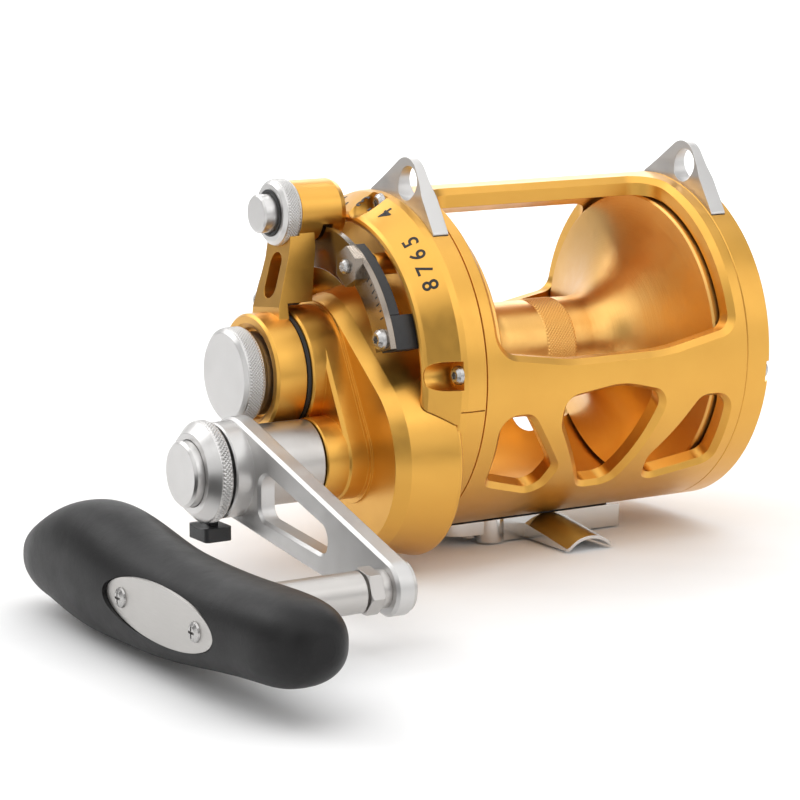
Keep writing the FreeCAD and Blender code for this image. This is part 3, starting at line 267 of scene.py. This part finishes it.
steel_spool = metal("steel_spool", STEEL, STEEL_DEEP, 0.32, SPOOL, 0.12)
steel_plate = milled("steel_plate", STEEL, (0.50, 0.49, 0.47), 0.40, (1.0, 0.04, 1.0), 0.12)
steel_quadrant = metal("steel_quadrant", (0.29, 0.25, 0.21), (0.25, 0.21, 0.175), 0.20, SPOOL, 0.06)
steel_bright = metal("steel_bright", (0.50, 0.49, 0.48), (0.44, 0.43, 0.42), 0.27,
                     None, 0.0, 0.03, edge=0.00012)
steel_gear = milled("steel_gear", (0.46, 0.44, 0.42), DARK_STEEL, 0.32, (0.03, 1.0, 1.0), 0.12,
                    edge=0.00012)
steel_wire = metal("steel_wire", (0.5, 0.49, 0.48), DARK_STEEL, 0.3, None, 0.0, 0.05, edge=0.00008)
bronze = metal("bronze_bush", BRONZE, (0.5, 0.3, 0.12), 0.36, CRANK, 0.08)
carbon = weave("carbon_cloth", (0.02, 0.02, 0.022), 0.0016)
black_plastic = moulded("black_plastic", (0.018, 0.018, 0.019), 0.48, 0.25, 0.00035, 0.3)
black_rubber = moulded("black_rubber", (0.0085, 0.0082, 0.0085), 0.46, 0.18, 0.0005, 0.2,
                       shine=0.27)
seal_rubber = moulded("seal_rubber", (0.015, 0.015, 0.015), 0.5, 0.1, 0.0004, 0.3)

paint("frame off_side_plate", gold_turned)
paint("spool", gold_spool)
paint("handle_side_plate gear_cover", gold_crank)
paint("drag_lever", gold_lever)
paint("preset_knob", silver_knob)
paint("crank_nut shift_button", silver_crank)
paint("crank_arm harness_lug_crank_side harness_lug_off_side click_button", silver_blast)
paint("lever_cap lever_button", silver_lever)
paint("foot", silver_polish)
paint("crank_sleeve crank_shaft", steel_crank)
paint("grip_spindle spindle_nut spindle_bush", steel_spindle)
paint("spool_shaft spool_bearings pinion_bearing cam_follower lever_cam brake_disc", steel_spool)
paint("grip_plate", steel_plate)
paint("quadrant strike_stop", steel_quadrant)
paint("plate_screws cover_screws foot_screws grip_screws quadrant_screws strike_stop_screw "
      "dog_pins crank_bearings", steel_bright)
paint("drag_rotor pinion high_speed_gear low_speed_gear shift_key dog_a dog_b "
      "click_ratchet click_tongue", steel_gear)
paint("shift_spring lever_spring preset_springs", steel_wire)
paint("inner_bush", bronze)
paint("drag_washer", carbon)
paint("quadrant_stops quadrant_spacers quadrant_strip release_tab grip_core", black_plastic)
paint("grip", black_rubber)
paint("lever_seal_ring foot_gasket", seal_rubber)


# ---- piece helpers -------------------------------------------------------------------------------
def add_piece(name, verts, faces, body, mat, smooth=True):
    mesh = bpy.data.meshes.new(name)
    mesh.from_pydata([[c * MM for c in v] for v in verts], [], faces)
    mesh.validate()
    bm = bmesh.new()
    bm.from_mesh(mesh)
    bmesh.ops.recalc_face_normals(bm, faces=bm.faces)
    bm.to_mesh(mesh)
    bm.free()
    for p in mesh.polygons:
        p.use_smooth = smooth
    mesh.materials.append(mat)
    obj = bpy.data.objects.new(name, mesh)
    bpy.context.scene.collection.objects.link(obj)
    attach(obj, body)
    return obj


def knurl(name, axis, x0, x1, radius, height, teeth, body, mat, depth=0.5):
    """A closed sleeve with a diamond knurl: peaks alternate from row to row."""
    pitch = 2 * math.pi * radius / (2 * teeth)
    rows = max(4, int(round((x1 - x0) / pitch)))
    cols = 2 * teeth
    verts, faces = [], []
    for j in range(rows + 1):
        x = x0 + (x1 - x0) * j / rows
        for i in range(cols):
            peak = (i + j) % 2 == 0 and 0 < j < rows
            r = radius + (height if peak else 0.0)
            a = 2 * math.pi * i / cols
            verts.append((x, axis[0] + r * math.cos(a), axis[1] + r * math.sin(a)))
    for x in (x0, x1):
        for i in range(cols):
            a = 2 * math.pi * i / cols
            r = radius - depth
            verts.append((x, axis[0] + r * math.cos(a), axis[1] + r * math.sin(a)))
    for j in range(rows):
        for i in range(cols):
            a, b = j * cols + i, j * cols + (i + 1) % cols
            c, d = b + cols, a + cols
            if (i + j) % 2 == 0:
                faces += [(a, b, c), (a, c, d)]
            else:
                faces += [(a, b, d), (b, c, d)]
    low, high, top = (rows + 1) * cols, (rows + 2) * cols, rows * cols
    for i in range(cols):
        k = (i + 1) % cols
        faces.append((i, k, low + k, low + i))
        faces.append((top + i, top + k, high + k, high + i))
        faces.append((low + i, low + k, high + k, high + i))
    return add_piece(name, verts, faces, body, mat, False)


knurl("knurl_preset", SPOOL, -109.5, -104.4, 14.45, 0.40, 90, "preset", silver_knob)
knurl("knurl_crank_nut", CRANK, -130.0, -126.8, 15.05, 0.45, 78, "crank", silver_crank)
knurl("knurl_lever_cap", LEVER, -90.3, -86.1, 9.98, 0.36, 64, "lever", silver_lever)
knurl("knurl_arbor", SPOOL, -1.3, 9.9, 14.97, 0.26, 84, "spool", gold_spool)


def ring(name, axis, x0, x1, inner, outer, body, mat, count=72):
    """A plain flat ring round an axis along X, with its outer edges rounded a little."""
    soft = min(outer - inner, x1 - x0) * 0.3
    profile = [(x0, inner), (x0, outer - soft), (x0 + soft, outer),
               (x1 - soft, outer), (x1, outer - soft), (x1, inner)]
    verts, faces = [], []
    n = len(profile)
    for i in range(count):
        a = 2 * math.pi * i / count
        verts += [(x, axis[0] + r * math.cos(a), axis[1] + r * math.sin(a)) for x, r in profile]
    for i in range(count):
        p, q = i * n, (i + 1) % count * n
        faces += [(p + k, p + (k + 1) % n, q + (k + 1) % n, q + k) for k in range(n)]
    return add_piece(name, verts, faces, body, mat)


ring("lever_button_ring", LEVER, -92.0, -91.55, 6.06, 7.3, "lever", seal_rubber)


# ---- rear wall of the gear housing, where it stands out past the round side plate ---------------
def housing_back():
    """A crescent between the rims of the side plate and the housing, its rear edge chamfered."""
    front, edge, back = -58.98, -58.2, -57.6
    inner, count, half = 53.3, 40, 35.4
    verts, faces = [], []
    for i in range(count + 1):
        turn = math.radians(-half + 2 * half * i / count)
        angle = CRANK_ANGLE + math.degrees(turn)
        along, across = CRANK_R * math.cos(turn), CRANK_R * math.sin(turn)
        for x, housing in ((front, 33.3), (edge, 33.3), (back, 32.7)):
            outer = max(along + math.sqrt(housing ** 2 - across ** 2), inner + 0.05)
            verts.append((x, *spot(outer, angle)))
        verts.append((back, *spot(inner, angle)))
        verts.append((front, *spot(inner, angle)))
    for i in range(count):
        p, q = 5 * i, 5 * i + 5
        faces += [(p + k, p + (k + 1) % 5, q + (k + 1) % 5, q + k) for k in range(5)]
    faces += [tuple(range(5)), tuple(5 * count + k for k in range(5))]
    return add_piece("housing_back_wall", verts, faces, "reel", gold_crank, False)


housing_back()


# ---- dial marks ----------------------------------------------------------------------------------
ink = moulded("dial_ink", (0.012, 0.011, 0.010), 0.5, 0.05, 0.0004, 0.2)
RIM = [(-58.5, 53.5), (-65.7, 48.9)]       # outer slope of the side plate: (x, radius)


def on_rim(x, angle, lift=0.0):
    """A point on the sloping rim, and the directions along the slope, round it and out of it."""
    (xa, ra), (xb, rb) = RIM
    r = ra + (rb - ra) * (x - xa) / (xb - xa)
    a = math.radians(angle)
    out_r, out_x = (xa - xb), (rb - ra)
    size = math.hypot(out_r, out_x)
    out_r, out_x = out_r / size, out_x / size
    radial = Vector((0.0, math.cos(a), math.sin(a)))
    out = radial * out_r + Vector((out_x, 0, 0))
    point = Vector((x, 0.0, AXIS_Z)) + radial * r + out * lift
    around = Vector((0.0, -math.sin(a), math.cos(a)))
    along = around.cross(out)
    return point, along, around, out


def numeral(name, text, x, angle, size):
    point, along, around, out = on_rim(x, angle, 0.01)
    curve = bpy.data.curves.new(name, "FONT")
    curve.body = text
    curve.size = size * MM
    curve.extrude = 0.04 * MM
    curve.offset = 0.09 * MM
    curve.align_x = "CENTER"
    curve.align_y = "CENTER"
    curve.materials.append(ink)
    obj = bpy.data.objects.new(name, curve)
    bpy.context.scene.collection.objects.link(obj)
    right, up = -around, along
    m = Matrix((right, up, out)).transposed().to_4x4()
    m.translation = point * MM
    obj.matrix_world = m
    bpy.context.view_layer.update()
    mesh = bpy.data.meshes.new_from_object(obj.evaluated_get(bpy.context.evaluated_depsgraph_get()))
    mesh.transform(m)
    bpy.data.objects.remove(obj)
    piece = bpy.data.objects.new(name, mesh)
    bpy.context.scene.collection.objects.link(piece)
    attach(piece, "reel")
    return piece


NUMBER_X, NUMBER_SIZE = -62.1, 7.0
for i, angle in enumerate((60.0, 76.0, 92.0, 108.0, 126.0, 132.2, 138.4, 144.6)):
    numeral("dial_number_%d" % (i + 1), str(i + 1), NUMBER_X, angle, NUMBER_SIZE)


def tick_ring(name, spots, body, mat):
    """Short raised ink bars: each is four corners in millimetres and the way out of the face."""
    verts, faces = [], []
    for corners, out in spots:
        n = len(verts)
        for lift in (0.0, 0.05):
            verts += [tuple(Vector(c) + out * lift) for c in corners]
        faces += [(n, n + 1, n + 2, n + 3), (n + 7, n + 6, n + 5, n + 4)]
        faces += [(n + k, n + (k + 1) % 4, n + 4 + (k + 1) % 4, n + 4 + k) for k in range(4)]
    return add_piece(name, verts, faces, body, mat, False)


TICK_X0, TICK_X1, TICK_HALF = -63.4, -64.6, 0.6     # dots between the numbers 1 to 4
rim_spots = []
for k in range(3):
    angle = 68.0 + 16.0 * k
    corners = []
    for x, da in ((TICK_X0, -1), (TICK_X0, 1), (TICK_X1, 1), (TICK_X1, -1)):
        corners.append(on_rim(x, angle + da * TICK_HALF, -0.01)[0])
    rim_spots.append((corners, on_rim((TICK_X0 + TICK_X1) / 2, angle)[3]))
tick_ring("dial_ticks", rim_spots, "reel", ink)

FACE_X, FACE_TICK_TOP, FACE_TICK_HALF = -77.09, 43.8, 0.3
face_spots = []
for k in range(9):
    angle = 128.0 + 3.0 * k
    foot = 41.8 if k % 2 == 0 else 42.6
    corners = []
    for r, da in ((foot, -1), (FACE_TICK_TOP, -1), (FACE_TICK_TOP, 1), (foot, 1)):
        corners.append((FACE_X, *spot(r, angle + da * FACE_TICK_HALF)))
    face_spots.append((corners, Vector((-1, 0, 0))))
tick_ring("quadrant_ticks", face_spots, "reel", ink)


# ---- floor, light and camera --------------------------------------------------------------------
FLOOR_LIGHT, FLOOR_DARK = (0.93, 0.93, 0.93), (0.90, 0.90, 0.90)
FLOOR_TURN = -31.4                  # degrees: the floor faces the camera
FLOOR_NEAR, FLOOR_FAR = -3.0, 1.3   # metres
FLOOR_HALF, FLOOR_GAP = 4.0, 0.0006
SWEEP, WALL = 0.8, 1.6              # radius where the floor turns up, and height of the wall on it


def studio():
    """A pale floor that sweeps up into a wall behind the reel."""
    floor_mat = Graph("studio_floor")
    fine = floor_mat.noise(floor_mat.object, 60.0, 3.0)
    floor_mat.feed(floor_mat.bsdf.inputs["Base Color"],
                   floor_mat.blend(fine, FLOOR_LIGHT, FLOOR_DARK))
    floor_mat.bsdf.inputs["Roughness"].default_value = 0.9
    floor_mat.bsdf.inputs["Specular IOR Level"].default_value = 0.1
    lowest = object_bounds()[0].z
    steps = 12
    profile = [(FLOOR_NEAR, 0.0), (FLOOR_FAR, 0.0)]
    for i in range(1, steps + 1):
        a = math.pi / 2 * i / steps
        profile.append((FLOOR_FAR + SWEEP * math.sin(a), SWEEP * (1 - math.cos(a))))
    profile.append((FLOOR_FAR + SWEEP, SWEEP + WALL))
    turn = Matrix.Rotation(math.radians(FLOOR_TURN), 4, "Z")
    verts, faces = [], []
    for side in (-FLOOR_HALF, FLOOR_HALF):
        for y, z in profile:
            verts.append(turn @ Vector((side, y, z + lowest - FLOOR_GAP)))
    n = len(profile)
    for i in range(n - 1):
        faces.append((i, i + 1, n + i + 1, n + i))
    mesh = bpy.data.meshes.new("studio_floor")
    mesh.from_pydata(verts, [], faces)
    for p in mesh.polygons:
        p.use_smooth = True
    mesh.materials.append(floor_mat.mat)
    obj = bpy.data.objects.new("studio_floor", mesh)
    bpy.context.scene.collection.objects.link(obj)


def area_light(name, place, target, size, power):
    """A white soft box at a place, turned to a target: metres and watts."""
    data = bpy.data.lights.new(name, "AREA")
    data.shape = "RECTANGLE"
    data.size, data.size_y = size
    data.energy = power
    obj = bpy.data.objects.new(name, data)
    obj.location = place
    obj.rotation_euler = (Vector(target) - Vector(place)).to_track_quat("-Z", "Y").to_euler()
    bpy.context.scene.collection.objects.link(obj)


CAMERA_PLACE = (-0.53555, -0.79936, 0.21714)
CAMERA_BACK = (-0.51257, -0.83979, 0.17914)      # from what it looks at towards the camera
CAMERA_RIGHT = (0.8536, -0.5210, 0.0)
CAMERA_LENS, SENSOR = 135.02, 36.0
WORLD_LIGHT = 0.30


def light_and_camera():
    world = bpy.data.worlds.new("studio_world")
    bpy.context.scene.world = world
    world.use_nodes = True
    background = world.node_tree.nodes["Background"]
    background.inputs["Color"].default_value = (1.0, 1.0, 1.0, 1.0)
    background.inputs["Strength"].default_value = WORLD_LIGHT
    middle = (-0.05, -0.04, 0.05)
    area_light("light_top", (-0.15, -0.25, 0.95), middle, (1.7, 1.2), 8.2)
    area_light("light_left", (-1.15, -0.35, 0.45), middle, (0.9, 1.1), 2.4)
    area_light("light_front", (0.25, -1.25, 0.65), middle, (1.3, 0.9), 3.2)
    area_light("light_right", (0.95, -0.75, 0.40), middle, (0.9, 1.1), 2.8)
    area_light("light_back", (0.9, 0.8, 0.7), middle, (0.8, 0.6), 2.4)
    area_light("light_over", (-0.65, 0.85, 0.95), middle, (1.0, 0.8), 6.0)
    area_light("light_wall", (0.35, 0.80, 1.50), (1.1, 1.7, 0.5), (1.6, 0.6), 26.0)
    data = bpy.data.cameras.new("camera")
    data.lens = CAMERA_LENS
    data.sensor_width = SENSOR
    data.clip_start = 0.01
    camera = bpy.data.objects.new("camera", data)
    back = Vector(CAMERA_BACK).normalized()
    right = Vector(CAMERA_RIGHT).normalized()
    up = back.cross(right)
    m = Matrix((right, up, back)).transposed().to_4x4()
    m.translation = CAMERA_PLACE
    camera.matrix_world = m
    bpy.context.scene.collection.objects.link(camera)
    bpy.context.scene.camera = camera
    bpy.context.scene.view_settings.view_transform = "Standard"


studio()
light_and_camera()
